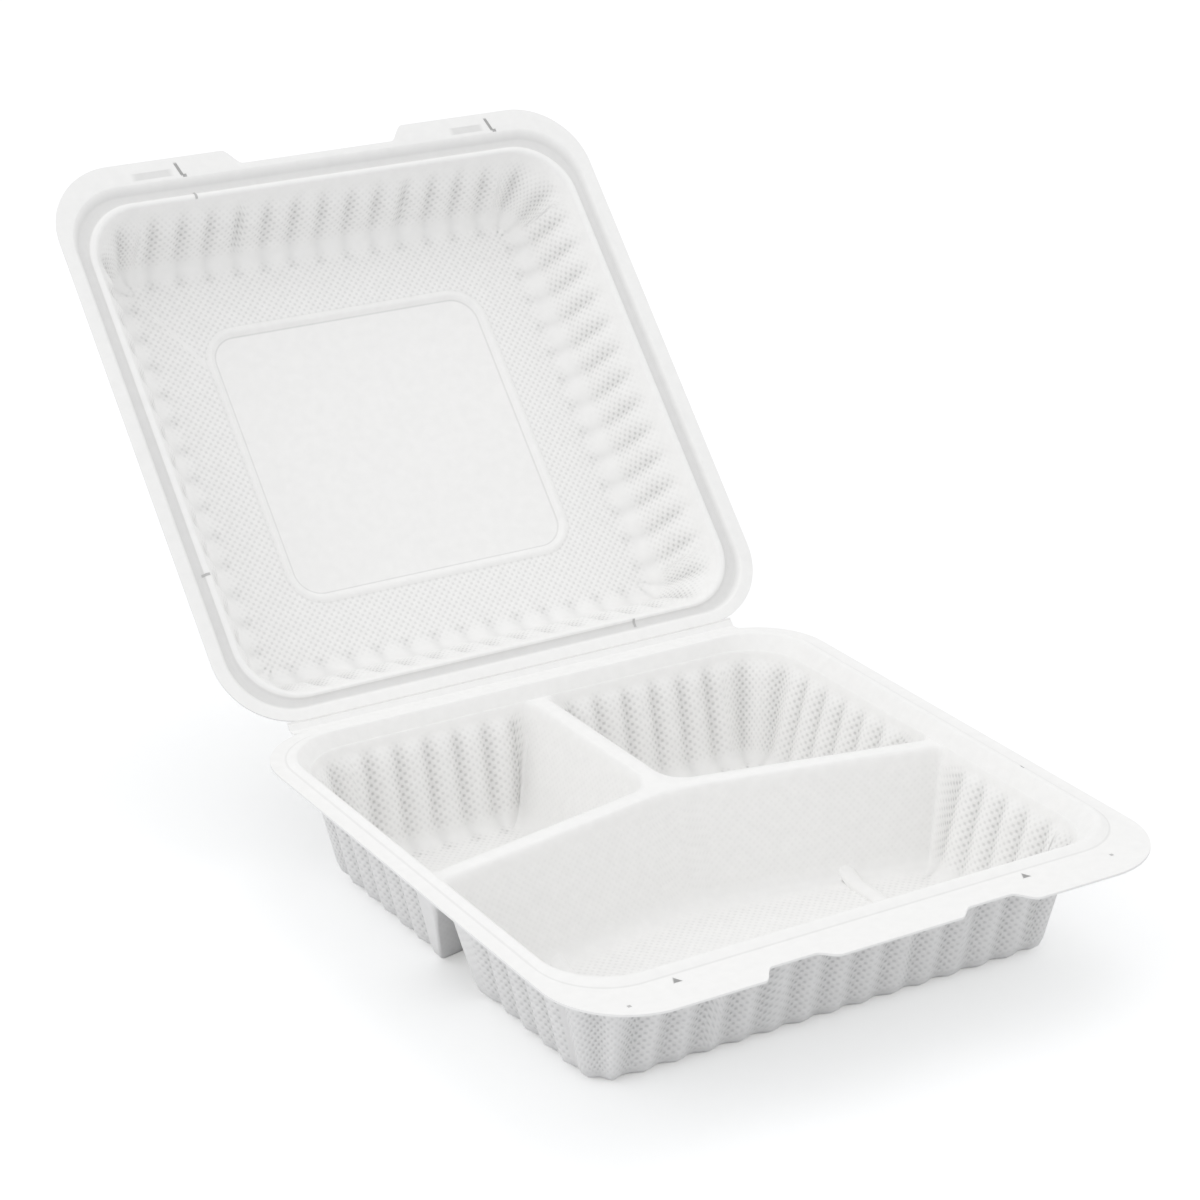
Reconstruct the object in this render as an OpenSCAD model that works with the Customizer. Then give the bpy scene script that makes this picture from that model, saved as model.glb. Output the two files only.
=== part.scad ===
// Hinged three-compartment food container, moulded in one piece and shown open.
// The origin is the middle of the front compartment's underside, with the hinge at the back, along X.

/* [Tray] */
// Width of the container across its side flanges
width = 229; // [200:1:260]
// Depth of the mouths from front to back
mouth_depth = 200; // [180:1:230]
// Height of the tray's flange above the table
tray_height = 46; // [38:1:60]
// Thickness of the tray's sheet
wall = 0.8; // [0.6:0.05:1.2]
// Lean of the tray's walls from upright, in degrees
tray_draft = 14; // [10:0.5:18]
// Depth of the dividers' tops below the flange
deck_drop = 4; // [3:0.5:6]
// Radius between walls and floors
floor_r = 4; // [3:0.5:7]

/* [Flange and rim] */
// Flat flange at each side, from its edge to the foot of the rim
flange_w = 5.5; // [4:0.5:9]
// Flat flange at the hinge
hinge_flange_w = 4.5; // [3:0.5:7]
// Width of the rim at the sides, from its foot to the mouth
rim_w = 7.5; // [6:0.5:9]
// Width of the rim at the front
front_rim_w = 8.5; // [7:0.5:12]
// Width of the rim at the hinge
hinge_rim_w = 6; // [5:0.5:9]
// Width of the crest along the top of the rim
crest_w = 1.5; // [1:0.5:3]
// Width of the slope outside the crest at the sides and hinge
slope_w = 1.7; // [1.5:0.1:2.5]
// Width of the slope outside the crest at the front
front_slope_w = 3; // [2:0.5:4]
// Height of the crest above the flange
rim_rise = 1.4; // [0.8:0.1:2]
// Corner radius of the mouths
mouth_r = 22; // [19:1:24]
// Corner radius of the flanges at the hinge and on the lid
flange_r = 28; // [24:1:32]
// Corner radius of the tray's front lip
lip_r = 30; // [26:1:34]

/* [Front edge] */
// Flat lip of the tray beyond the rim, at its corners
lip_w = 18.3; // [15:0.1:22]
// Flat lip at the middle of the tray's front
tongue_w = 16.3; // [14:0.1:20]
// Flat lip left at the two finger notches
notch_w = 11.5; // [9:0.5:13]
// Distance of the notches' inner ends from the middle
notch_x = 23; // [20:0.5:30]
// Length of each notch, with its slanted ends
notch_l = 30; // [24:0.5:34]
// Length of the slanted ends
notch_slant = 7; // [5:0.5:10]
// Flat lip of the lid beyond its rim, at the two ears
ear_w = 9.8; // [8:0.1:13]
// Flat lip of the lid between the ears
ear_gap_w = 3.4; // [2:0.1:5]
// Distance of the ears' inner ends from the middle
ear_x = 32; // [28:0.5:40]

/* [Dividers] */
// Width of the dividers' flat tops
divider_w = 7; // [5:0.5:9]
// Place of the long divider's bend behind the middle of the mouth
divider_y = 13; // [5:0.5:20]
// Slant of the long divider's two halves, in degrees
divider_slant = 11; // [4:0.5:14]
// Radius of the rear compartments' corners along the short divider
junction_r = 14; // [8:1:18]
// Radius of the compartments' corners where the long divider meets a wall
divider_end_r = 4; // [3:0.5:6]
// Radius of the front compartment at the divider's bend
bend_r = 60; // [40:1:80]

/* [Flutes] */
// Distance from one flute to the next
flute_pitch = 12; // [10:0.5:14]
// Depth of the flutes from crest to valley
flute_depth = 2.4; // [1:0.1:3]
// Facets that make one flute
flute_steps = 4; // [4:2:6]

/* [Lid] */
// Thickness of the lid's sheet
lid_wall = 0.7; // [0.6:0.05:1]
// Depth of the lid's cavity below its flange
lid_depth = 31; // [24:1:40]
// Lean of the lid's walls from upright, in degrees
lid_draft = 24; // [15:0.5:26]
// Width of the panel in the lid's top
panel_w = 118; // [90:1:130]
// Size of the panel from front to back
panel_d = 113; // [90:1:125]
// Corner radius of the panel
panel_r = 12; // [8:1:18]
// Depth of the panel's step
panel_step = 1; // [0.5:0.1:2]
// Width of the panel's sloping step
panel_slope_w = 1.8; // [1:0.1:3]
// Gap between the closed flanges, and all round the tray's rim
seal_gap = 0.4; // [0.3:0.1:0.6]

/* [Hinge] */
// Distance of the hinge strip's ends from the side flanges' edges
hinge_end = 20; // [20:0.5:24]
// Width of each half of the hinge strip, from its crease to the hinge line
hinge_half_w = 2.7; // [2:0.1:4]
// Thickness of the hinge strip
hinge_t = 0.5; // [0.4:0.1:0.5]
// Gap between each half of the strip and the hinge line
hinge_gap = 0.15; // [0.1:0.05:0.3]
// Angle of the open lid from its closed place, in degrees
lid_open = 133; // [90:1:180]

/* [Lock] */
// Distance of the left lock hole from the middle
lock_left_x = 76; // [68:0.5:80]
// Distance of the right lock hole from the middle
lock_right_x = 58; // [54:0.5:66]
// Size of a lock hole
lock_w = 3.6; // [3:0.2:5]
// Distance of the left slit in the lid from the middle
tab_left_x = 60; // [56:0.5:66]
// Distance of the right slit in the lid from the middle
tab_right_x = 75; // [70:0.5:78]
// Width of a slit
slit_w = 1.2; // [1:0.1:2]
// Length of a slit
slit_l = 6; // [4:0.5:7]

/* [Hidden] */
mouth_x = width / 2 - flange_w - rim_w;
mouth_y = mouth_depth / 2;
middle_y = 0.45 * mouth_y;
crease_y = mouth_y + hinge_rim_w + hinge_flange_w;
hinge_y = crease_y + hinge_half_w;
hinge_z = tray_height + seal_gap / 2;
deck_z = tray_height - deck_drop;
shelf_drop = rim_rise + seal_gap + 0.5;
strip_x = width / 2 - hinge_end;
lock_y = -mouth_y - front_rim_w - 1.5;
tab_y = -mouth_y - front_rim_w - slit_l - 1.5;
slit_run = 1.5;
arc_step = 90 / 8;
shelf_w = 0.3;
wave = flute_depth / 2;
fx = (floor((mouth_x - mouth_r) / flute_pitch - 0.5) + 0.5) * flute_pitch;
fy = (floor((mouth_y - mouth_r) / flute_pitch - 0.5) + 0.5) * flute_pitch;
rear_first = flute_pitch;
front_first = 2 * flute_pitch;
half_w = divider_w / 2;
slant = tan(divider_slant);
half_slanted = half_w / cos(divider_slant);

// Direction of the side that leaves corner i, and its inward normal, for corners listed anticlockwise
function along(c, i) = let (d = c[(i + 1) % len(c)] - c[i]) d / norm(d);
function inward(c, i) = let (e = along(c, i)) [-e.y, e.x];
function before(c, i) = inward(c, (i + len(c) - 1) % len(c));
// Way from corner i to the point one unit inside both of its sides
function way_in(c, i) = (before(c, i) + inward(c, i)) / (1 + before(c, i) * inward(c, i));
function turn(c, i) = let (a = before(c, i), b = inward(c, i))
    (atan2(b.y, b.x) - atan2(a.y, a.x) + 720) % 360;
function arc_count(c, i) = max(2, round(turn(c, i) / arc_step));
function line_count(s) = round((s[1] - s[0]) / flute_pitch * flute_steps);

// A corner of an outline: its point, its radius, whether it is fluted,
// the two ends of the flutes along the side that leaves it, and whether that side is a cut
function corner(p, r = 0, fluted = 0, flutes = [0, 0], cut = false) = [p, r, fluted, flutes, cut];

// A rounded corner. A fluted one has a crest at each end and in its middle.
function arc_points(c, i, r, w) = let (n = arc_count(c, i), a = -before(c, i), g0 = atan2(a.y, a.x))
    [for (k = [0:n]) let (g = g0 + turn(c, i) * k / n)
        c[i] + r * way_in(c, i) + (r - w * (1 + cos(720 * k / n))) * [cos(g), sin(g)]];

// A side, fluted from place s[0] to place s[1], between the ends from and to of its corners' arcs.
// The flutes fade out toward a corner that is not fluted. A straight side has all its points at two places.
function side_points(c, i, s, w, squeeze, full, from, to, fluted) = let (
        e = along(c, i),
        n = line_count(s))
    n < 1 ? [] : [for (k = [0:n]) let (
            u = squeeze * (s[0] + (s[1] - s[0]) * (full ? k / n : round(k / n))),
            g = min(to, max(from, u)),
            fade = 2 / flute_pitch * min(
                fluted[0] ? flute_pitch : g - from,
                fluted[1] ? flute_pitch : to - g))
        c[i] + (g - c[i] * e) * e + min(1, fade) * w * (1 - cos(360 * g / flute_pitch)) * inward(c, i)];

function snapped(p) = [for (v = p) round(v * 1e3) / 1e3];

// Closed outline at height z, moved inward by inset, with flutes of half depth w.
// Points along the sides are kept on all of them (full 2), on the front one (1) or on none (0).
function ring(spec, z, inset = 0, w = 0, squeeze = 1, full = 2) = let (
        p = [for (s = spec) s[0]],
        c = [for (i = [0:len(p) - 1]) p[i] + inset * way_in(p, i)],
        r = [for (i = [0:len(p) - 1]) spec[i][1] == 0 ? 0 : max(spec[i][1] - inset, 1)],
        back = [for (i = [0:len(p) - 1]) r[i] * tan(turn(c, i) / 2)])
    [for (i = [0:len(c) - 1]) let (j = (i + 1) % len(c), e = along(c, i)) each [for (q = concat(
        arc_points(c, i, r[i], spec[i][2] * w),
        side_points(c, i, spec[i][3], w, squeeze, full == 2 || (full == 1 && i == 0),
            c[i] * e + back[i], c[j] * e - back[j], [spec[i][2] > 0, spec[j][2] > 0])))
                snapped([q.x, q.y, z])]];

// Which steps of a ring lie on a cut
function on_cut(spec) = let (c = [for (s = spec) s[0]])
    [for (i = [0:len(c) - 1]) let (m = line_count(spec[i][3]), n = arc_count(c, i) + (m < 1 ? 0 : m + 1))
        each [for (k = [0:n]) spec[i][4] && k == n]];

function whole(t) = t[0] != t[1] && t[1] != t[2] && t[2] != t[0];

// Triangles between neighbouring rings, leaving out the steps marked in skip
function strip(a, b, skip) = [for (i = [0:len(a) - 1]) let (j = (i + 1) % len(a))
    if (!skip[i]) each [for (t = [[a[i], a[j], b[j]], [a[i], b[j], b[i]]]) if (whole(t)) t]];
function strips(rings, skip) = [for (k = [1:len(rings) - 1]) each strip(rings[k - 1], rings[k], skip)];

// Triangles that close a ring from its middle
function cap(a) = let (m = snapped([for (v = [0:2]) [for (p = a) 1] * [for (p = a) p[v]] / len(a)]))
    [for (i = [0:len(a) - 1]) let (t = [a[i], a[(i + 1) % len(a)], m]) if (whole(t)) t];

function flipped(triangles) = [for (t = triangles) [t[0], t[2], t[1]]];

module solid(triangles) {
    polyhedron(
        points = [for (t = triangles) each t],
        faces = [for (k = [0:len(triangles) - 1]) [3 * k, 3 * k + 2, 3 * k + 1]]);
}

// Rings of a fluted well below top_z. For t > 0 they are those of its outer face, t outside the inner one.
function well_rings(spec, top_z, floor_z, draft, t) = let (
        lean = tan(draft),
        fall = top_z - floor_z - floor_r,
        out = t / cos(draft))
    [
        ring(spec, top_z - t, lean * t - out, wave),
        ring(spec, floor_z + floor_r, lean * fall - out, wave),
        ring(spec, floor_z + floor_r * 0.3 - t * 0.7, lean * fall + floor_r * 0.3 - t * 0.7, wave * 0.7),
        ring(spec, floor_z - t, lean * fall + floor_r * 0.9, 0)
    ];

// Compartments of the tray, and the cells of its rim around them, which meet on the dividers' middle lines
function divider(x, off) = divider_y + off - slant * abs(x);
function left_rear(x, y, m, off, r, rj, re) = [
    corner([-x, divider(x, off)], re, cut = true),
    corner([-m, divider(m, off)], rj, cut = true),
    corner([-m, y], re, flutes = [rear_first, fx]),
    corner([-x, y], r, 1, [-fy, -rear_first])];
function right_rear(x, y, m, off, r, rj, re) = [
    corner([m, divider(m, off)], rj, cut = true),
    corner([x, divider(x, off)], re, flutes = [rear_first, fy]),
    corner([x, y], r, 1, [-fx, -rear_first]),
    corner([m, y], re, cut = true)];
function front_cell(x, y, off, r, rb, re) = [
    corner([-x, -y], r, 1, [-fx, fx]),
    corner([x, -y], r, 1, [-fy, -front_first]),
    corner([x, divider(x, off)], re, cut = true),
    corner([0, divider(0, off)], rb, cut = true),
    corner([-x, divider(x, off)], re, flutes = [front_first, fy])];

// Steps of the tray's rim from its edge to the mouth:
// distance outside the mouth at the sides, hinge and front, height, corner radius, shift of the underside
tray_steps = [
    [rim_w + flange_w, hinge_rim_w + hinge_flange_w, front_rim_w + lip_w, 0, flange_r, 0],
    [rim_w, hinge_rim_w, front_rim_w, 0, mouth_r + 2, -0.3],
    [rim_w - slope_w, hinge_rim_w - slope_w, front_rim_w - front_slope_w, rim_rise, mouth_r + 1, -0.2],
    [rim_w - slope_w - crest_w, hinge_rim_w - slope_w - crest_w, front_rim_w - front_slope_w - crest_w,
        rim_rise, mouth_r + 1, 0.4],
    [shelf_w, shelf_w, shelf_w, -deck_drop, mouth_r, 0.8]];

function ramp(v, from, to) = let (u = min(1, max(0, (v - from) / (to - from)))) u * u * (3 - 2 * u);
// Lip of the tray at distance x from the middle
function tray_lip(x) = let (a = ramp(abs(x), notch_x, notch_x + notch_slant),
        b = ramp(abs(x), notch_x + notch_l - notch_slant, notch_x + notch_l))
    tongue_w + (notch_w - tongue_w) * a + (lip_w - notch_w) * b;
function lid_lip(x) = ear_gap_w + (ear_w - ear_gap_w) * ramp(abs(x), ear_x, ear_x + notch_slant);

// Steps of the lid's rim, with the same columns
lid_steps = [
    [rim_w + flange_w, hinge_rim_w + hinge_flange_w, front_rim_w + ear_w, 0, flange_r, 0],
    [rim_w + 1.5 * seal_gap, hinge_rim_w + 1.5 * seal_gap, front_rim_w + 1.5 * seal_gap, 0, mouth_r + 2, 0.3],
    [rim_w - slope_w + seal_gap, hinge_rim_w - slope_w + seal_gap, front_rim_w - front_slope_w + seal_gap,
        -rim_rise - seal_gap, mouth_r + 1, 0.4],
    [shelf_w, shelf_w, shelf_w, -shelf_drop, mouth_r, 0.8]];

// Outline of a rim step, cut into the cells of the tray
function rear_left_cell(s) = left_rear(mouth_x + s[0], mouth_y + s[1], 0, 0, s[4], 0, 0);
function rear_right_cell(s) = right_rear(mouth_x + s[0], mouth_y + s[1], 0, 0, s[4], 0, 0);
function front_cells(s) = front_cell(mouth_x + s[0], mouth_y + s[2], 0, s[4], 0, 0);
function box(x, y0, y1, r, fluted) = [
    corner([-x, y0], r, fluted, [-fx, fx]),
    corner([x, y0], r, fluted, [-fy, fy]),
    corner([x, y1], r, fluted, [-fx, fx]),
    corner([-x, y1], r, fluted, [-fy, fy])];
function lid_box(s) = box(mouth_x + s[0], -mouth_y - s[2], mouth_y + s[1], s[4], 0);

// Rim steps at height z, with the sheet's thickness t taken off below
function lowered(steps, z, t) = [for (s = steps)
    [s[0] + s[5] * t, s[1] + s[5] * t, s[2] + s[5] * t, z + s[3] - t, s[4]]];

// Moves a rim's straight front edge to the lip's outline
function lip_edge(r, tray) = [for (p = r) abs(p.x) > fx || p.y > -mouth_y ? p
    : snapped([p.x, -mouth_y - front_rim_w - (tray ? tray_lip(p.x) : lid_lip(p.x)), p.z])];

// Moves the edge's corner points at the hinge to the end of the hinge strip
function hinge_edge(r) = [for (p = r) let (u = abs(p.x) - width / 2 + flange_r)
    p.y < mouth_y || u < 0.01 || u > flange_r * sin(1.5 * arc_step) ? p
        : snapped([sign(p.x) * strip_x,
            crease_y - flange_r + sqrt(flange_r ^ 2 - (flange_r - hinge_end) ^ 2), p.z])];
// Edge of the hinge strip, grown out of the flange's edge r, for the face t below the upper one
// of a sheet as thick as w
function strip_edge(r, t, w) = [for (p = r) let (u = abs(p.x) - width / 2 + flange_r)
    p.y < mouth_y || u > 0.01 ? p
        : snapped([u < -0.01 ? p.x : sign(p.x) * strip_x, hinge_y - hinge_gap,
            p.z + t - (w - hinge_t) / 2 - t * hinge_t / w])];
function with_strip(rings, t, w) = let (edge = hinge_edge(rings[0]))
    concat([strip_edge(edge, t, w), edge], [for (k = [1:len(rings) - 1]) rings[k]]);

// A moulded sheet: the triangles of its upper face, of its under face and of its edge.
// Each face is given by its cells: a spec for the cuts, and its rings from the edge to the middle.
function face(spec, rings, cut_rings) = concat(
    strips([for (k = [0:cut_rings - 1]) rings[k]], on_cut(spec)),
    strips([for (k = [cut_rings - 1:len(rings) - 1]) rings[k]], []),
    cap(rings[len(rings) - 1]));
module sheet(specs, upper, under, cut_rings) {
    solid([for (k = [0:len(specs) - 1]) each concat(
        face(specs[k], upper[k], cut_rings),
        flipped(face(specs[k], under[k], cut_rings)),
        flipped(strip(upper[k][0], under[k][0], on_cut(specs[k]))))]);
}

compartments = [
    left_rear(mouth_x, mouth_y, half_w, half_slanted, mouth_r, junction_r, divider_end_r),
    right_rear(mouth_x, mouth_y, half_w, half_slanted, mouth_r, junction_r, divider_end_r),
    front_cell(mouth_x, mouth_y, -half_slanted, mouth_r, bend_r, divider_end_r)];

// Rings of the tray's three cells, t below its upper face
function tray_rings(t) = let (
        steps = lowered(tray_steps, tray_height, t),
        last = len(steps) - 1,
        cells = [
            [for (k = [0:last]) ring(rear_left_cell(steps[k]), steps[k][3], full = k == last ? 2 : 0)],
            [for (k = [0:last]) ring(rear_right_cell(steps[k]), steps[k][3], full = k == last ? 2 : 0)],
            [for (k = [0:last]) let (
                    s = k > 0 ? steps[k] : [for (v = [0:4]) v < 4 ? steps[0][v] : lip_r],
                    r = ring(front_cells(s), s[3], full = k == last ? 2 : k < 2 ? 1 : 0))
                k > 0 ? r : lip_edge(r, true)]])
    [for (k = [0:2])
        with_strip(concat(cells[k], well_rings(compartments[k], deck_z, wall, tray_draft, t)), t, wall)];

// Rings of the lid, t below its inner face, with the lid lying open and flat
function lid_rings(t) = let (
        steps = lowered(lid_steps, 0, t),
        last = len(steps) - 1,
        rims = [for (k = [0:last]) let (
                s = steps[k],
                r = ring(lid_box(s), s[3], full = k == last ? 2 : k < 2 ? 1 : 0))
            k > 0 ? r : lip_edge(r, false)],
        panel = box(panel_w / 2, -panel_d / 2, panel_d / 2, panel_r, 0),
        squeeze = (min(panel_w, panel_d) / 2 - panel_r) / max(fx, fy))
    with_strip(concat(rims,
        well_rings(box(mouth_x, -mouth_y, mouth_y, mouth_r, 1), -shelf_drop, -lid_depth, lid_draft, t), [
            ring(panel, -lid_depth - t, -0.3 * t, squeeze = squeeze, full = 0),
            ring(panel, -lid_depth - t - panel_step, panel_slope_w - 0.3 * t, squeeze = squeeze)]),
        t, lid_wall);

// Hole through the lip for the lid's locking tab
module lock_hole(x) {
    translate([x, lock_y, tray_height - 2 * wall])
        linear_extrude(3 * wall)
            polygon([[-lock_w / 2, -lock_w], [lock_w / 2, -lock_w], [0, 0]]);
}

module tray() {
    color("whitesmoke")
    translate([0, middle_y, 0])
        difference() {
            sheet(compartments, tray_rings(0), tray_rings(wall), len(tray_steps) + 1);
            lock_hole(-lock_left_x);
            lock_hole(lock_right_x);
        }
}

// The lid lying open and flat, turned up about the hinge line to where it stands
module lid() {
    color("white")
    translate([0, middle_y + hinge_y, hinge_z])
        rotate([180 - lid_open, 0, 0])
            translate([0, hinge_y, -seal_gap / 2])
                mirror([0, 1, 0])
                    difference() {
                        sheet([box(mouth_x, -mouth_y, mouth_y, mouth_r, 1)],
                            [lid_rings(0)], [lid_rings(lid_wall)], len(lid_steps) + 1);
                        for (x = [-tab_left_x, tab_right_x])
                            translate([x, tab_y, -2 * lid_wall])
                                linear_extrude(3 * lid_wall)
                                    polygon([[0, 0], [slit_w, 0],
                                        [slit_w + slit_run, slit_l], [slit_run, slit_l]]);
                    }
}

tray();
lid();
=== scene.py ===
import math

import bmesh
import bpy
import numpy as np
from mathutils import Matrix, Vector


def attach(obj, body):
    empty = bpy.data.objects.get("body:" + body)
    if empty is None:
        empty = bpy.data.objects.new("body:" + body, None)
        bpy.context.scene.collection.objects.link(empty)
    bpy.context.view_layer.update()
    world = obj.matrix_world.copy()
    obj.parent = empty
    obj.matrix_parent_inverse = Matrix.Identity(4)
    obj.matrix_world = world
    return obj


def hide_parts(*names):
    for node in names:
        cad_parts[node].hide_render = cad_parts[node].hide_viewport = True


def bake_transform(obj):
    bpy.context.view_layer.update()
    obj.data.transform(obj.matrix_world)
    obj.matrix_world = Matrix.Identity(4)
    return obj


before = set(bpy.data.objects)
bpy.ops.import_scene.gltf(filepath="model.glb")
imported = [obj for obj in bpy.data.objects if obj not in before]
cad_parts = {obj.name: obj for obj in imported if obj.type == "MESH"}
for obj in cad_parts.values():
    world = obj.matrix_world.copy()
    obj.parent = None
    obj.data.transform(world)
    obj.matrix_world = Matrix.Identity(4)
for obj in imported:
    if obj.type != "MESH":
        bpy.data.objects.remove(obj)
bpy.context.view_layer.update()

MM = 0.001

# Sizes in millimetres and degrees, as in the CAD source
WIDTH, MOUTH_DEPTH, HEIGHT, WALL, DRAFT, DECK_DROP = 229.0, 200.0, 46.0, 0.8, 14.0, 4.0
FLANGE_W, HINGE_FLANGE_W, RIM_W, FRONT_RIM_W, HINGE_RIM_W = 5.5, 4.5, 7.5, 8.5, 6.0
CREST_W, SLOPE_W, FRONT_SLOPE_W, RIM_RISE = 1.5, 1.7, 3.0, 1.4
MOUTH_R, FLANGE_R, LIP_R = 22.0, 28.0, 30.0
LIP_W, TONGUE_W, NOTCH_W, NOTCH_X, NOTCH_L, NOTCH_SLANT = 18.3, 16.3, 11.5, 23.0, 30.0, 7.0
EAR_W, EAR_GAP_W, EAR_X = 9.8, 3.4, 32.0
DIVIDER_W, DIVIDER_Y, DIVIDER_SLANT = 7.0, 13.0, 11.0
JUNCTION_R, DIVIDER_END_R, BEND_R = 14.0, 4.0, 60.0
PITCH, FLUTE = 12.0, 2.4
LID_WALL, LID_DEPTH, LID_DRAFT = 0.7, 31.0, 24.0
PANEL_W, PANEL_D, PANEL_R, PANEL_STEP, PANEL_SLOPE = 118.0, 113.0, 12.0, 1.0, 1.8
SEAL_GAP, HINGE_HALF, HINGE_T, HINGE_END, LID_OPEN = 0.4, 2.7, 0.5, 20.0, 133.0
LOCKS, LOCK_W, SLITS, SLIT_L, SLIT_RUN, LOCK_GAP = (-76.0, 58.0), 3.6, (-60.0, 75.0), 6.0, 1.5, 1.5

MX, MY = WIDTH / 2 - FLANGE_W - RIM_W, MOUTH_DEPTH / 2
MIDDLE = 0.45 * MY  # middle of the mouths behind the origin
CREASE = MY + HINGE_RIM_W + HINGE_FLANGE_W
HINGE_Y, HINGE_Z = CREASE + HINGE_HALF, HEIGHT + SEAL_GAP / 2
HINGE_AT = MIDDLE + HINGE_Y
DECK = HEIGHT - DECK_DROP
FX = (math.floor((MX - MOUTH_R) / PITCH - 0.5) + 0.5) * PITCH  # half of the fluted run along x
FY = (math.floor((MY - MOUTH_R) / PITCH - 0.5) + 0.5) * PITCH  # and along y
HALF = DIVIDER_W / 2
SLANT = math.tan(math.radians(DIVIDER_SLANT))
HALF_SLANTED = HALF / math.cos(math.radians(DIVIDER_SLANT))
RIM_FRONT = -MY - FRONT_RIM_W

# How finely the shapes are cut
ARC_STEP = math.radians(3.75)  # along a corner
PER_FLUTE = 16                 # points along a flute
RIB = 0.72                     # power that fills out a rib's wave
PARTS = 3                      # steps in a rounding of the profile
SHARED, ALONE = 0.45, 0.9      # most of a step that a rounding takes, beside another one or not
SHARP = math.radians(50)
HINGE_CUTS = (40, 24)
FLOOR_RIB_CUTS = (40, 14)

# Shares of the screen texture: on a plain corner, what a rib takes away, and at the foot of the ribs
PLAIN_SCREEN, RIB_FADE, FOOT_SCREEN = 0.12, 0.6, 0.8
RIB_SHADE_INSIDE, RIB_SHADE_OUTSIDE = 0.45, 0.5  # painted shade between the ribs
FLOOR_BAND = 2.6                           # this near to its floor, a well's pattern lies flat

# Depth below the mouth, share of the ribs' height, share of the screen texture
TRAY_RISE = ((3.0, 0.05, 0.1), (4.8, 0.4, 0.4), (7.0, 0.85, 0.9), (10.5, 1.0, 1.0), (24.0, 1.0, 1.0))
LID_RISE = ((3.5, 0.0, 0.1), (6.0, 0.3, 0.4), (9.0, 0.75, 0.8), (13.0, 1.0, 1.0))

# Rims from the edge inward: distance outside the mouth at the sides, hinge and front, height,
# corner radius, outward shift of the underside, painted shade in the hollow, reach of the rounding
TRAY_STEPS = [
    (RIM_W + FLANGE_W, HINGE_RIM_W + HINGE_FLANGE_W, FRONT_RIM_W + LIP_W, 0, FLANGE_R, 0, 0, 0),
    (RIM_W, HINGE_RIM_W, FRONT_RIM_W, 0, MOUTH_R + 2, -0.3, 0.45, 0.6),
    (RIM_W - SLOPE_W, HINGE_RIM_W - SLOPE_W, FRONT_RIM_W - FRONT_SLOPE_W,
     RIM_RISE, MOUTH_R + 1, -0.2, 0, 0.7),
    (RIM_W - SLOPE_W - CREST_W, HINGE_RIM_W - SLOPE_W - CREST_W, FRONT_RIM_W - FRONT_SLOPE_W - CREST_W,
     RIM_RISE, MOUTH_R + 1, 0.4, 0, 0.7),
    (0.3, 0.3, 0.3, -DECK_DROP, MOUTH_R, 0.8, 0, 0)]
LID_RIM = -RIM_RISE - SEAL_GAP  # the lid's rim hollow, which takes the tray's rim when it is closed
LID_STEPS = [
    (RIM_W + FLANGE_W, HINGE_RIM_W + HINGE_FLANGE_W, FRONT_RIM_W + EAR_W, 0, FLANGE_R, 0, 0, 0),
    (RIM_W + 0.6, HINGE_RIM_W + 0.6, FRONT_RIM_W + 0.6, 0, MOUTH_R + 2, 0.3, 0, 0.5),
    (RIM_W - SLOPE_W + SEAL_GAP, HINGE_RIM_W - SLOPE_W + SEAL_GAP, FRONT_RIM_W - FRONT_SLOPE_W + SEAL_GAP,
     LID_RIM - 0.6, MOUTH_R + 1, 0.3, 0.8, 0.4),
    (3.4, 2.4, 3.2, LID_RIM - 0.6, MOUTH_R + 1, 0, 0.8, 0.5),
    (2.4, 1.6, 2.2, LID_RIM + 0.5, MOUTH_R + 1, 0, 0, 0.5),
    (0.9, 0.9, 0.9, LID_RIM + 0.5, MOUTH_R, 0.2, 0, 0.4),
    (0.3, 0.3, 0.3, LID_RIM, MOUTH_R, 0.8, 0, 0)]
# Rings that rounded() makes of the tray's rim: both ends stay, and the others are rounded
TRAY_RIM_RINGS = 2 + (len(TRAY_STEPS) - 2) * (PARTS + 1)
# Panel in the lid's top: inset and height of the upper face, then those that the sheet's thickness adds,
# screen texture, painted shade, reach of the rounding
PANEL_STEPS = ((-3.2, 0.0, 0.0, 0.5, 0, 0), (-2.4, 0.0, 0.0, 0.4, 0.2, 0.4), (-1.2, 0.55, 0.0, 0.0, 0, 0.5),
               (0.0, 0.55, 0.0, 0.0, 0, 0.5), (PANEL_SLOPE, -PANEL_STEP, 0.3, 0.0, 0.7, 0.5),
               (PANEL_SLOPE + 3, -PANEL_STEP, 0.0, 0.0, 0, 0))


def corner(x, y, r=0.0, fluted=0, flutes=(0.0, 0.0), cut=False):
    """A corner of an outline, with the flutes on its arc and on the side that follows it.

    cut marks the side that follows as a line where two cells' sheets meet.
    """
    return dict(p=np.array([x, y], float), r=r, f=fluted, s=flutes, cut=cut)


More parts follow.
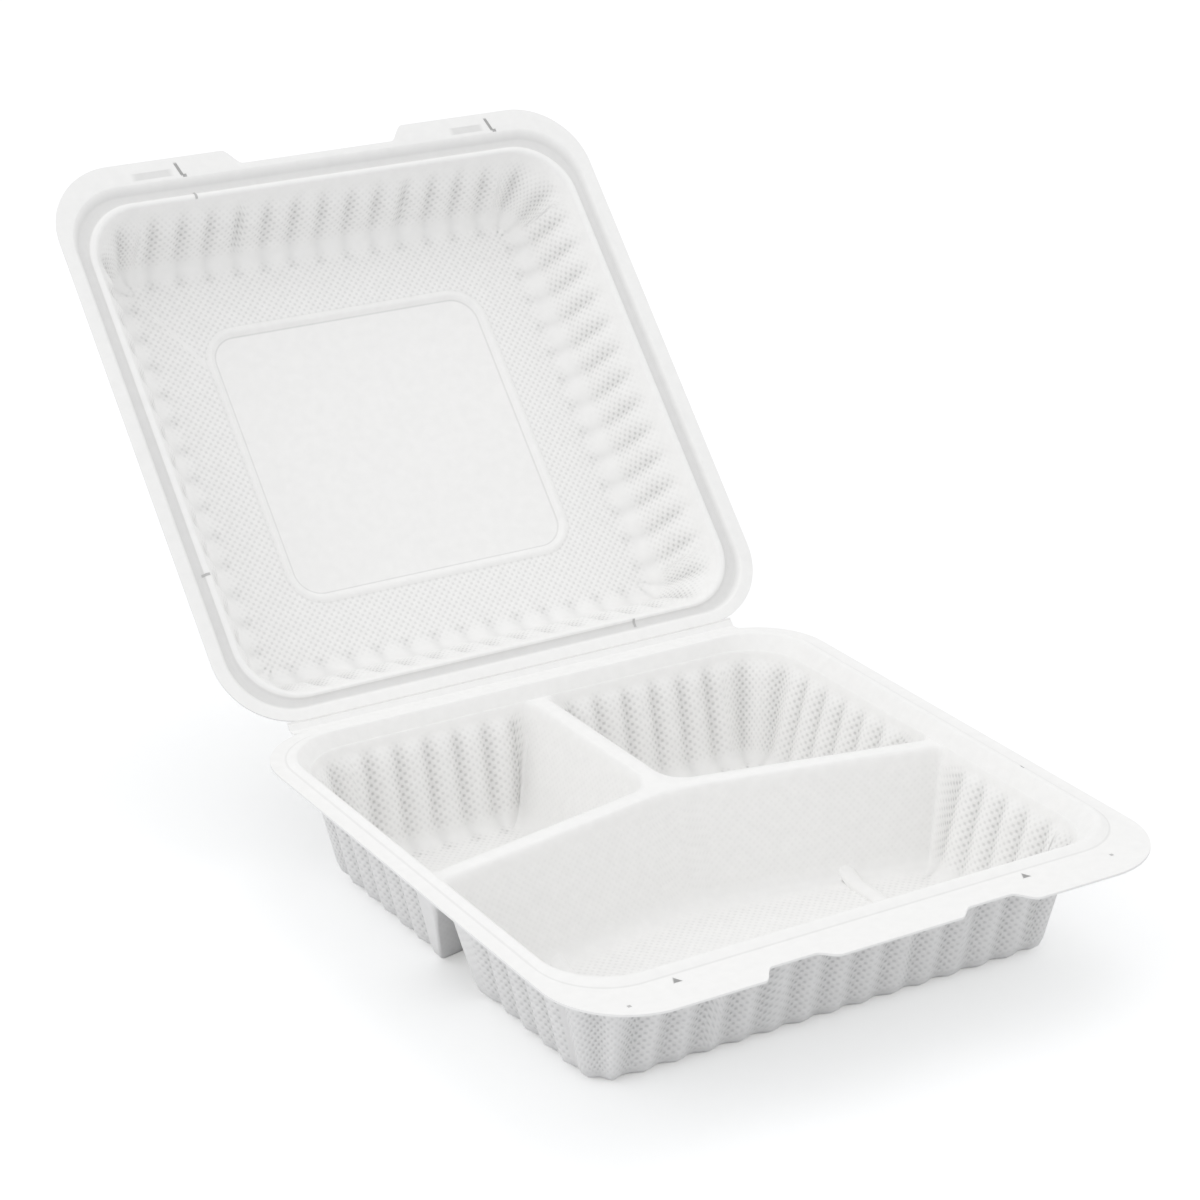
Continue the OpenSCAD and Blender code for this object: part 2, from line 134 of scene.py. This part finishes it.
def ring(spec, z, inset=0.0, w=0.0, squeeze=1.0):
    """Closed outline at height z, inset inward, with ribs 2 w high.

    Gives its points and how far each is up a rib, or -1 on a plain corner.
    """
    n = len(spec)
    p = [s["p"] for s in spec]
    e = [(p[(i + 1) % n] - p[i]) / np.linalg.norm(p[(i + 1) % n] - p[i]) for i in range(n)]
    nv = [np.array([-d[1], d[0]]) for d in e]
    way = [(nv[i - 1] + nv[i]) / (1 + nv[i - 1] @ nv[i]) for i in range(n)]
    turn = [math.atan2(nv[i - 1][0] * nv[i][1] - nv[i - 1][1] * nv[i][0], nv[i - 1] @ nv[i])
            for i in range(n)]
    c = [p[i] + inset * way[i] for i in range(n)]
    r = [0.0 if s["r"] == 0 else max(s["r"] - inset, 1.0) for s in spec]
    back = [r[i] * math.tan(turn[i] / 2) for i in range(n)]
    pts, up = [], []
    for i in range(n):
        j = (i + 1) % n
        m = max(4, round(turn[i] / ARC_STEP))
        k = np.arange(m + 1) / m
        g = math.atan2(-nv[i - 1][1], -nv[i - 1][0]) + turn[i] * k
        h = spec[i]["f"] * ((1 + np.cos(4 * np.pi * k)) / 2) ** RIB
        pts.append(c[i] + r[i] * way[i] + (r[i] - 2 * w * h)[:, None] * np.stack([np.cos(g), np.sin(g)], 1))
        up.append(h if spec[i]["f"] else np.full(m + 1, -1.0))
        a, b = spec[i]["s"]
        if b > a:
            m = round((b - a) / PITCH * PER_FLUTE)
            lo, hi = c[i] @ e[i] + back[i], c[j] @ e[i] - back[j]
            g = np.clip(squeeze * np.linspace(a, b, m + 1), lo, hi)
            fade = np.ones(m + 1)
            if not spec[i]["f"]:
                fade = np.minimum(fade, (g - lo) * 2 / PITCH)
            if not spec[j]["f"]:
                fade = np.minimum(fade, (hi - g) * 2 / PITCH)
            h = np.clip(fade, 0, 1) * ((1 - np.cos(2 * np.pi * g / PITCH)) / 2) ** RIB
            pts.append(c[i] + np.outer(g - c[i] @ e[i], e[i]) + np.outer(2 * w * h, nv[i]))
            up.append(h)
    xy = np.concatenate(pts)
    return np.column_stack([xy, np.full(len(xy), float(z))]), np.concatenate(up)


def on_cut(spec):
    """Which steps of a ring lie on a line where two cells' sheets meet."""
    out = []
    n = len(spec)
    p = [s["p"] for s in spec]
    for i in range(n):
        e0, e1 = p[i] - p[i - 1], p[(i + 1) % n] - p[i]
        turn = math.atan2(e0[0] * e1[1] - e0[1] * e1[0], e0 @ e1)
        m = max(4, round(turn / ARC_STEP)) + 1
        a, b = spec[i]["s"]
        m += round((b - a) / PITCH * PER_FLUTE) + 1 if b > a else 0
        out += [False] * (m - 1) + [spec[i]["cut"]]
    return np.array(out)


def rounded(rings, reach):
    """Rounds the profile at each ring: reach is how far along the profile, in mm, the rounding goes."""
    out = [rings[0]]
    for k in range(1, len(rings) - 1):
        a, b, c = rings[k - 1], rings[k], rings[k + 1]
        if reach[k] <= 0:
            out.append(b)
            continue
        da, dc = (np.linalg.norm(v - b, axis=1, keepdims=True) for v in (a, c))
        most_a, most_c = (SHARED if reach[n] > 0 else ALONE for n in (k - 1, k + 1))
        pa = b + (a - b) * np.minimum(most_a, reach[k] / np.maximum(da, 1e-6))
        pc = b + (c - b) * np.minimum(most_c, reach[k] / np.maximum(dc, 1e-6))
        for t in np.linspace(0, 1, PARTS + 1):
            out.append((1 - t) ** 2 * pa + 2 * t * (1 - t) * b + t * t * pc)
    out.append(rings[-1])
    return out


def interleave(masks, reaches):
    """Masks for the rings that rounded() makes. A ring of painted shade between two plain ones gives a
    narrow line of painted shade.
    """
    out = [masks[0]]
    for k in range(1, len(masks) - 1):
        many = [masks[k]] * (PARTS + 1 if reaches[k] > 0 else 1)
        before, here, after = (masks[n][:, 1].any() for n in (k - 1, k, k + 1))
        if reaches[k] > 0 and here and not before and not after:
            many[0] = many[-1] = masks[k] * (1, 0)
        out += many
    return out + [masks[-1]]


# Outlines of the cells
def divider(x, off):
    return DIVIDER_Y + off - SLANT * abs(x)


def left_rear(x, y, m, off, r, rj, re):
    return [corner(-x, divider(x, off), re, cut=True), corner(-m, divider(m, off), rj, cut=True),
            corner(-m, y, re, flutes=(PITCH, FX)), corner(-x, y, r, 1, (-FY, -PITCH))]


def right_rear(x, y, m, off, r, rj, re):
    return [corner(m, divider(m, off), rj, cut=True), corner(x, divider(x, off), re, flutes=(PITCH, FY)),
            corner(x, y, r, 1, (-FX, -PITCH)), corner(m, y, re, cut=True)]


def front_cell(x, y, off, r, rb, re):
    return [corner(-x, -y, r, 1, (-FX, FX)), corner(x, -y, r, 1, (-FY, -2 * PITCH)),
            corner(x, divider(x, off), re, cut=True), corner(0, divider(0, off), rb, cut=True),
            corner(-x, divider(x, off), re, flutes=(2 * PITCH, FY))]


def box(x, y0, y1, r, f):
    return [corner(-x, y0, r, f, (-FX, FX)), corner(x, y0, r, f, (-FY, FY)),
            corner(x, y1, r, f, (-FX, FX)), corner(-x, y1, r, f, (-FY, FY))]


def ramp(v, a, b):
    u = np.clip((v - a) / (b - a), 0, 1)
    return u * u * (3 - 2 * u)


def lip(p, tray):
    """Moves a rim's straight front edge to the lip's outline."""
    x = np.abs(p[:, 0])
    if tray:
        w = (TONGUE_W + (NOTCH_W - TONGUE_W) * ramp(x, NOTCH_X, NOTCH_X + NOTCH_SLANT)
             + (LIP_W - NOTCH_W) * ramp(x, NOTCH_X + NOTCH_L - NOTCH_SLANT, NOTCH_X + NOTCH_L))
    else:
        w = EAR_GAP_W + (EAR_W - EAR_GAP_W) * ramp(x, EAR_X, EAR_X + NOTCH_SLANT)
    out = p.copy()
    front = (x <= FX + 1e-6) & (p[:, 1] < -MY)
    out[front, 1] = (RIM_FRONT - w)[front]
    return out


def add_object(name, data):
    o = bpy.data.objects.new(name, data)
    bpy.context.scene.collection.objects.link(o)
    return o


class Sheet:
    """Collects strips of quads between rings, with a perimeter and profile coordinate and masks."""

    LAYERS = ("screen", "cavity", "along", "across", "flat_x", "flat_y")

    def __init__(self):
        self.v, self.uv, self.mask, self.f, self.n = [], [], [], [], 0

    def add(self, rings, masks, skip, cut_rings, flip):
        """Adds one face of a cell: its first cut_rings rings are open where skip says so."""
        first = self.n
        count = len(rings[0])
        guide = rings[min(cut_rings + 2, len(rings) - 1)]
        step = np.linalg.norm(np.diff(guide, axis=0, append=guide[:1]), axis=1)
        u = np.concatenate([[0], np.cumsum(step)[:-1]])
        v = np.zeros(count)
        low = min(r[:, 2].min() for r in rings) + FLOOR_BAND
        level = [r[:, 2].max() < low for r in rings]
        for k, r in enumerate(rings):
            if k:
                v = v + np.linalg.norm(r - rings[k - 1], axis=1)
            self.v.append(r)
            self.uv.append(r[:, :2] if level[k] else np.column_stack([u, v]))
            # no screen where the pattern's coordinates change or start again
            turns = any(level[k] != level[n] for n in (k - 1, k + 1) if 0 <= n < len(rings))
            mask = masks[k] * ((0, 1) if turns else (1, 1))
            mask[[0, 1, 2, -3, -2, -1], 0] = 0
            self.mask.append(mask)
        i = np.arange(count)
        j = (i + 1) % count
        for k in range(1, len(rings)):
            keep = ~skip if k < cut_rings else np.ones(count, bool)
            a, b = first + (k - 1) * count, first + k * count
            q = np.stack([a + i, a + j, b + j, b + i], 1)[keep]
            self.f.append(q[:, ::-1] if flip else q)
        self.n += len(rings) * count
        # middle of the last ring
        self.v.append(rings[-1].mean(0)[None])
        self.uv.append(rings[-1].mean(0)[None, :2])
        self.mask.append(np.zeros((1, 2)))
        a = first + (len(rings) - 1) * count
        t = np.stack([a + i, a + j, np.full(count, self.n), np.full(count, self.n)], 1)
        self.f.append(t[:, ::-1] if flip else t)
        self.n += 1
        return first

    def edge(self, a, b, count, skip):
        """Joins the outer rings of the two faces that start at a and b."""
        i = np.arange(count)
        j = (i + 1) % count
        self.f.append(np.stack([b + i, b + j, a + j, a + i], 1)[~skip])

    def mesh(self, name, place):
        v = np.concatenate(self.v)
        data = np.column_stack([np.concatenate(self.mask), np.concatenate(self.uv), v[:, :2]])
        v = place(v) * MM
        bm = bmesh.new()
        layers = [bm.verts.layers.float.new(n) for n in self.LAYERS]
        verts = [bm.verts.new(p) for p in v]
        for vert, row in zip(verts, data):
            for layer, value in zip(layers, row):
                vert[layer] = value
        for f in np.concatenate(self.f):
            ids = []
            for a in f:
                if a not in ids and all((v[a] != v[b]).any() for b in ids):
                    ids.append(a)
            if len(ids) > 2:
                try:
                    bm.faces.new([verts[a] for a in ids])
                except ValueError:  # this face is there already
                    pass
        bmesh.ops.remove_doubles(bm, verts=bm.verts, dist=2e-6)
        bmesh.ops.dissolve_degenerate(bm, dist=1e-6, edges=bm.edges)
        loose = [x for x in bm.verts if not x.link_faces]
        bmesh.ops.delete(bm, geom=loose, context="VERTS")
        for f in bm.faces:
            f.smooth = True
        me = bpy.data.meshes.new(name)
        bm.to_mesh(me)
        bm.free()
        me.set_sharp_from_angle(angle=SHARP)
        return add_object(name, me)


def look(count, screen=0.0, cavity=0.0):
    """Screen texture and painted shade of a ring's points."""
    return np.column_stack([np.full(count, screen), np.full(count, cavity)])


def rib_look(up, amount, outside):
    """Screen texture strongest between the ribs, weaker on them, faint on a plain corner; painted shade
    darkest between the ribs.
    """
    u = np.clip(1 - up if outside else up, 0, 1)
    dark = (RIB_SHADE_OUTSIDE if outside else RIB_SHADE_INSIDE) * (1 - u) ** 2
    screen = np.where(up < 0, PLAIN_SCREEN, 1.0 - RIB_FADE * u)
    return np.column_stack([screen, np.where(up < 0, 0.0, dark)]) * amount


def well(spec, top, floor, draft, t, reach, rise, foot, floor_reach, floor_out, floor_mask):
    """Rings, masks and roundings of a ribbed well, t below its upper face.

    Its upper and lower edges are rounded over reach and floor_reach, its ribs rise as rise says and end at
    foot of their height, and the screen texture fades to floor_mask at floor_out inside the floor's edge.
    """
    lean = math.tan(math.radians(draft))
    out = t / math.cos(math.radians(draft))
    deep = top - floor
    rings, masks, reaches = [], [], []
    for s, w, m, rr in ((0.0, 0.0, 0.0, reach), *((*v, 0) for v in rise)):
        p, up = ring(spec, top - t * (1 if s == 0 else 0.5) - s, lean * s - out, FLUTE / 2 * w)
        rings.append(p)
        masks.append(rib_look(up, m, t > 0))
        reaches.append(rr)
    p, up = ring(spec, floor - t, lean * deep - out, FLUTE / 2 * foot)
    rings.append(p)
    masks.append(rib_look(up, FOOT_SCREEN, t > 0))
    reaches.append(floor_reach)
    p, up = ring(spec, floor - t, lean * deep - out + floor_out, 0.0)
    rings.append(p)
    masks.append(look(len(p), floor_mask))
    reaches.append(0)
    return rings, masks, reaches


def tray_cells(t):
    """Outline, rings and masks of the tray's three cells, t below the upper face."""
    wells = [left_rear(MX, MY, HALF, HALF_SLANTED, MOUTH_R, JUNCTION_R, DIVIDER_END_R),
             right_rear(MX, MY, HALF, HALF_SLANTED, MOUTH_R, JUNCTION_R, DIVIDER_END_R),
             front_cell(MX, MY, -HALF_SLANTED, MOUTH_R, BEND_R, DIVIDER_END_R)]
    out = []
    for k in range(3):
        rings, masks, reach = [], [], []
        for n, (sx, sh, sf, h, r, shift, dark, rr) in enumerate(TRAY_STEPS):
            sx, sh, sf = sx + shift * t, sh + shift * t, sf + shift * t
            if k == 0:
                spec = left_rear(MX + sx, MY + sh, 0, 0, r, 0, 0)
            elif k == 1:
                spec = right_rear(MX + sx, MY + sh, 0, 0, r, 0, 0)
            else:
                spec = front_cell(MX + sx, MY + sf, 0, LIP_R if n == 0 else r, 0, 0)
            p, _ = ring(spec, HEIGHT + h - t)
            rings.append(lip(p, True) if k == 2 and n == 0 else p)
            masks.append(look(len(p), 0.0, dark))
            reach.append(rr)
        a, b, c = well(wells[k], DECK, WALL, DRAFT, t, reach=2.4, rise=TRAY_RISE, foot=0.7,
                       floor_reach=6.5, floor_out=9.0, floor_mask=0.3)
        out.append((spec, rounded(rings + a, reach + c), interleave(masks + b, reach + c)))
    return out


def lid_cells(t):
    """The same of the lid's one cell, lying open and flat, with the panel in its top."""
    rings, masks, reach = [], [], []
    for n, (sx, sh, sf, h, r, shift, dark, rr) in enumerate(LID_STEPS):
        sx, sh, sf = sx + shift * t, sh + shift * t, sf + shift * t
        p, _ = ring(box(MX + sx, -MY - sf, MY + sh, r, 0), h - t)
        rings.append(lip(p, False) if n == 0 else p)
        masks.append(look(len(p), 0.0, dark))
        reach.append(rr)
    a, b, c = well(box(MX, -MY, MY, MOUTH_R, 1), LID_RIM - 0.5, -LID_DEPTH, LID_DRAFT, t, reach=1.2,
                   rise=LID_RISE, foot=0.3, floor_reach=7.0, floor_out=9.0, floor_mask=0.5)
    rings, masks, reach = rings + a, masks + b, reach + c
    panel = box(PANEL_W / 2, -PANEL_D / 2, PANEL_D / 2, PANEL_R, 0)
    squeeze = (min(PANEL_W, PANEL_D) / 2 - PANEL_R) / max(FX, FY)
    for inset, z, back, m, dark, rr in PANEL_STEPS:
        p, _ = ring(panel, -LID_DEPTH - t + z, inset - back * t, 0.0, squeeze)
        rings.append(p)
        masks.append(look(len(p), m, dark))
        reach.append(rr)
    return [(panel, rounded(rings, reach), interleave(masks, reach))]


def build_sheet(cells, t, name, place, cut_rings):
    """One closed sheet, t thick, from the rings of its upper and lower faces."""
    s = Sheet()
    for (spec, upper, upper_masks), (_, lower, lower_masks) in zip(cells(0.0), cells(t)):
        skip = on_cut(spec) if cut_rings else np.zeros(len(upper[0]), bool)
        a = s.add(upper, upper_masks, skip, cut_rings, False)
        b = s.add(lower, lower_masks, skip, cut_rings, True)
        s.edge(a, b, len(upper[0]), skip)
    return s.mesh(name, place)


def tray_place(v):
    return v + np.array([0, MIDDLE, 0])


def lid_place(v):
    """From the lid lying open and flat, upside down, to where it stands."""
    w = v * np.array([1.0, -1.0, 1.0]) + np.array([0, HINGE_Y, -SEAL_GAP / 2])
    a = math.radians(180 - LID_OPEN)
    y, z = w[:, 1] * math.cos(a) - w[:, 2] * math.sin(a), w[:, 1] * math.sin(a) + w[:, 2] * math.cos(a)
    return np.column_stack([w[:, 0], HINGE_AT + y, HINGE_Z + z])


bend = math.radians(180 - LID_OPEN)
STRIP_DROP = 0.6   # middle of the strip's thickness under the hinge's axis
STRIP_OVER = 0.08  # share of its width by which it reaches over each of its edges
# Creases across the strip: place from the tray's side to the lid's, width, share of CREASE_DEPTH
CREASES = ((0.06, 0.05, 1.0), (0.94, 0.05, 1.0), (0.5, 0.06, 0.6))
CREASE_DEPTH = 0.4


def hinge_strip():
    """The strip of sheet that bends between the tray and the lid."""
    nx, ny = HINGE_CUTS
    reach = WIDTH / 2 - HINGE_END
    us, vs = np.linspace(-reach, reach, nx + 1), np.linspace(-STRIP_OVER, 1 + STRIP_OVER, ny + 1)
    groove = -CREASE_DEPTH * sum(deep * np.exp(-((vs - at) / wide) ** 2) for at, wide, deep in CREASES)
    pts, faces = [], []
    for side, lift in ((0, -STRIP_DROP + HINGE_T / 2), (1, -STRIP_DROP - HINGE_T / 2)):
        for k, v in enumerate(vs):
            c = min(1, max(0, v))
            a = bend * c * c * (3 - 2 * c)
            y, z = (2 * v - 1) * HINGE_HALF, lift + (groove[k] if side == 0 else 0)
            for u in us:
                pts.append((u * MM, (HINGE_AT + y * math.cos(a) - z * math.sin(a)) * MM,
                            (HINGE_Z + y * math.sin(a) + z * math.cos(a)) * MM))
    w = nx + 1
    half = w * (ny + 1)
    for side in (0, 1):
        for i in range(ny):
            for j in range(nx):
                a = side * half + i * w + j
                q = (a, a + 1, a + w + 1, a + w)
                faces.append(q if side == 0 else q[::-1])
    for i in range(ny):
        faces.append((i * w, (i + 1) * w, half + (i + 1) * w, half + i * w))
        faces.append(((i + 1) * w + nx, i * w + nx, half + i * w + nx, half + (i + 1) * w + nx))
    for j in range(nx):
        faces.append((j + 1, j, half + j, half + j + 1))
        faces.append((ny * w + j, ny * w + j + 1, half + ny * w + j + 1, half + ny * w + j))
    me = bpy.data.meshes.new("hinge_strip")
    me.from_pydata(pts, [], faces)
    for f in me.polygons:
        f.use_smooth = True
    me.set_sharp_from_angle(angle=SHARP)
    return add_object("hinge_strip", me)


def floor_ribs():
    """Two low ribs on the front compartment's floor, whose rear ends climb the divider's foot."""
    rear, front, half_w, end_l, sunk = -9.0, -44.0, 3.2, 3.0, 0.3
    climb_from, climb_l, climb = 20.5, 11.5, 5.0
    nl, na = FLOOR_RIB_CUTS
    pts, faces = [], []
    for x0, high in ((-60.0, 0.8), (60.0, 2.2)):
        base = len(pts)
        for i in range(nl + 1):
            s = i / nl
            y = rear + (front - rear) * s
            end = min(s, 1 - s) * abs(front - rear)
            k = math.sqrt(max(0.0, 1 - max(0.0, 1 - end / end_l) ** 2))
            rise = max(0.0, (y + climb_from) / climb_l)
            for j in range(na + 1):
                a = math.pi * j / na
                z = WALL - sunk + (sunk + high * k) * math.sin(a) ** 0.8 + climb * rise * rise
                pts.append(((x0 + half_w * k * math.cos(a)) * MM, (MIDDLE + y) * MM, z * MM))
        for i in range(nl):
            for j in range(na):
                a = base + i * (na + 1) + j
                faces.append((a, a + 1, a + na + 2, a + na + 1))
    me = bpy.data.meshes.new("floor_ribs")
    me.from_pydata(pts, [], faces)
    bm = bmesh.new()
    bm.from_mesh(me)
    bmesh.ops.remove_doubles(bm, verts=bm.verts, dist=1e-6)
    bmesh.ops.recalc_face_normals(bm, faces=bm.faces)
    bm.to_mesh(me)
    bm.free()
    for f in me.polygons:
        f.use_smooth = True
    return add_object("floor_ribs", me)


tray = build_sheet(tray_cells, WALL, "tray_sheet", tray_place, TRAY_RIM_RINGS)
lid = build_sheet(lid_cells, LID_WALL, "lid_sheet", lid_place, 0)
lid.data.flip_normals()  # lid_place mirrors the lid, which turns it inside out
hinge = hinge_strip()
ribs = floor_ribs()

# Marks on the sheets, in their flat coordinates: middle, half sizes, darkness, then how far the mark's
# outline leans or narrows along y. Each is a shallow dent painted darker. The lock holes and slits are not
# cut: they are marks of painted shade, and so are the lid's two long faint marks on its front rim.
TRAY_MARKS = [(58.8, CREASE - 4.9, 1.1, 0.9, 0.6), (107.9, CREASE - 158.7, 1.1, 1.1, 0.6),
              (-96.6, CREASE - 228.9, 0.7, 0.7, 0.4), (91.6, CREASE - 225.6, 0.7, 0.7, 0.4)]
LID_MARKS = [(-69.8, CREASE - 222.6, 8.8, 1.7, 0.14), (66.0, CREASE - 222.6, 7.8, 1.7, 0.14),
             (-55.0, -102.0, 0.6, 1.8, 0.4), (-104.0, CREASE - 62.0, 1.8, 0.6, 0.4),
             (55.0, 103.0, 0.6, 1.8, 0.4)]
TRAY_MARKS += [(x, RIM_FRONT - LOCK_GAP - LOCK_W / 2, 1.9, 1.9, 0.62, 0, 0.5) for x in LOCKS]
LID_MARKS += [(x + 1.35, RIM_FRONT - LOCK_GAP - SLIT_L / 2, 0.7, 3.2, 0.55, SLIT_RUN / SLIT_L, 0)
              for x in SLITS]
LID_MARKS += [(x + 2.9, RIM_FRONT - 1.6, 0.9, 0.7, 0.5) for x in SLITS]

WHITE = (0.945, 0.94, 0.93)
SCREEN_PITCH = 3.0
# Bump of the screen texture, painted shade in its dimples and in the hollows, and bump of the grain
SCREEN_BUMP, SCREEN_DIMPLE_SHADE, PAINTED_SHADE_DARK, PULP_BUMP = 0.5, 0.28, 0.2, 0.25
MARK_EDGE = 0.75  # share of a mark's half size within which it is fully dark


def sheet_material(name, screen, marks=()):
    """Matte white with a fine grain and, with screen, the wire-screen texture, painted shade in its dimples
    and in the hollows, and marks of painted shade.
    """
    m = bpy.data.materials.new(name)
    m.use_nodes = True
    nt = m.node_tree
    nt.nodes.clear()

    def node(kind, inputs=None, **values):
        n = nt.nodes.new(kind)
        for k, v in values.items():
            setattr(n, k, v)
        for k, v in (inputs or {}).items():
            if isinstance(v, bpy.types.NodeSocket):
                nt.links.new(v, n.inputs[k])
            else:
                n.inputs[k].default_value = v
        return n

    def calc(op, *values):
        return node("ShaderNodeMath", dict(enumerate(values)), operation=op).outputs[0]

    def noise(scale, detail):
        return node("ShaderNodeTexNoise", {"Scale": scale, "Detail": detail,
                                           "Vector": coord.outputs["Object"]}).outputs["Fac"]

    def to_range(value, to_min, to_max, from_min=0.0, from_max=1.0):
        return node("ShaderNodeMapRange", {"Value": value, "From Min": from_min, "From Max": from_max,
                                           "To Min": to_min, "To Max": to_max}).outputs["Result"]

    def mix(factor, a, b, **values):
        return node("ShaderNodeMix", {"Factor": factor, "A": a, "B": b}, data_type="RGBA",
                    **values).outputs["Result"]

    def attribute(of):
        return node("ShaderNodeAttribute", attribute_name=of).outputs["Fac"]

    coord = node("ShaderNodeTexCoord")
    pulp = noise(260.0, 4.0)
    shade = mix(noise(14.0, 3.0), (*[c * 0.985 for c in WHITE], 1), (*WHITE, 1))
    shade = mix(1.0, shade, to_range(pulp, 0.97, 1.0, 0.3, 0.7), blend_type="MULTIPLY")
    height = calc("MULTIPLY", pulp, PULP_BUMP)
    if screen:
        k = 2 * math.pi / SCREEN_PITCH
        waves = [calc("SINE", calc("MULTIPLY", attribute(n), k)) for n in ("along", "across")]
        weave = calc("MULTIPLY", calc("MULTIPLY", *waves), attribute("screen"))
        height = calc("ADD", height, calc("MULTIPLY", weave, SCREEN_BUMP))
        # Painted shade: the screen texture's dimples are painted darker
        dark = calc("MULTIPLY", calc("MAXIMUM", calc("MULTIPLY", weave, -1.0), 0.0), SCREEN_DIMPLE_SHADE)
        # Painted shade in the rims' grooves, the hollows by the panel and the valleys between the ribs
        dark = calc("ADD", dark, calc("MULTIPLY", attribute("cavity"), PAINTED_SHADE_DARK))
        px, py = attribute("flat_x"), attribute("flat_y")
        # Each mark is painted shade and a shallow dent in the bump
        for x, y, half_x, half_y, depth, *shape in marks:
            lean, narrow = shape or (0, 0)
            dy = calc("SUBTRACT", py, y)
            dx = calc("SUBTRACT", px, x)
            if lean:
                dx = calc("SUBTRACT", dx, calc("MULTIPLY", dy, lean))
            dx = calc("DIVIDE", calc("ABSOLUTE", dx), half_x)
            if narrow:
                dx = calc("ADD", dx, calc("ADD", calc("MULTIPLY", dy, narrow / half_y), narrow))
            far = calc("MAXIMUM", dx, calc("DIVIDE", calc("ABSOLUTE", dy), half_y))
            inside = to_range(far, depth, 0.0, MARK_EDGE, 1.0)
            dark = calc("MAXIMUM", dark, inside)
            height = calc("SUBTRACT", height, inside)
        shade = mix(1.0, shade, calc("SUBTRACT", 1.0, dark), blend_type="MULTIPLY")
    bump = node("ShaderNodeBump", {"Strength": 1.0, "Distance": 0.00035, "Height": height})
    bsdf = node("ShaderNodeBsdfPrincipled", {"Base Color": shade, "Roughness": to_range(pulp, 0.5, 0.68),
                                             "Specular IOR Level": 0.35,
                                             "Normal": bump.outputs["Normal"]})
    node("ShaderNodeOutputMaterial", {"Surface": bsdf.outputs[0]})
    return m


plain = sheet_material("moulded_sheet_plain", False)
for o, m in ((tray, sheet_material("moulded_sheet_tray", True, TRAY_MARKS)),
             (lid, sheet_material("moulded_sheet_lid", True, LID_MARKS)), (hinge, plain), (ribs, plain)):
    o.data.materials.clear()
    o.data.materials.append(m)
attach(tray, "tray")
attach(ribs, "tray")
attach(lid, "lid")
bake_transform(hinge)
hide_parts("tray")
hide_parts("lid")

# Floor, which is brighter for the camera alone
FLOOR_HALF = 6.0
me = bpy.data.meshes.new("floor")
me.from_pydata([(x * FLOOR_HALF, y * FLOOR_HALF, 0) for x, y in ((-1, -1), (1, -1), (1, 1), (-1, 1))],
               [], [(0, 1, 2, 3)])
floor = add_object("floor", me)
fm = bpy.data.materials.new("floor")
fm.use_nodes = True
fb = fm.node_tree.nodes["Principled BSDF"]
fb.inputs["Base Color"].default_value = (0.74, 0.745, 0.76, 1)
fb.inputs["Emission Color"].default_value = (0.35, 0.35, 0.34, 1)
path = fm.node_tree.nodes.new("ShaderNodeLightPath")
fm.node_tree.links.new(path.outputs["Is Camera Ray"], fb.inputs["Emission Strength"])
fb.inputs["Roughness"].default_value = 0.9
fb.inputs["Specular IOR Level"].default_value = 0.1
me.materials.append(fm)

# Light: a soft dome, and two large soft lamps from the left and from behind on the right
world = bpy.data.worlds.new("studio")
bpy.context.scene.world = world
world.use_nodes = True
bg = world.node_tree.nodes["Background"]
bg.inputs["Color"].default_value = (0.99, 0.995, 1.0, 1)
bg.inputs["Strength"].default_value = 0.88

AIM = Vector((0, 0.095, 0.05))
for name, place, size, power in (("key", (-1.7, 0.2, 1.2), 1.5, 5.5), ("back", (0.9, 0.545, 2.2), 1.4, 5.0)):
    lamp = bpy.data.lights.new(name, "AREA")
    lamp.shape, lamp.size, lamp.energy = "SQUARE", size, power
    o = add_object(name, lamp)
    o.location = place
    o.rotation_mode = "QUATERNION"
    o.rotation_quaternion = (AIM - Vector(place)).to_track_quat("-Z", "Y")

# Camera, at the photograph's angle, fitted to an image of IMAGE pixels with its centre at CENTRE
IMAGE, CENTRE = 1200, (599.6, 595.2)
cam = bpy.data.cameras.new("camera")
cam.lens, cam.sensor_width, cam.clip_end = 97.70, 36.0, 20.0
cam.shift_x, cam.shift_y = (IMAGE / 2 - CENTRE[0]) / IMAGE, (CENTRE[1] - IMAGE / 2) / IMAGE
co = add_object("camera", cam)
co.location = (-0.5502, -0.8451 + MIDDLE * MM, 0.5258)
co.rotation_euler = (math.radians(67.94), 0.0, math.radians(-31.38))
bpy.context.scene.camera = co
bpy.context.scene.view_settings.view_transform = "Standard"
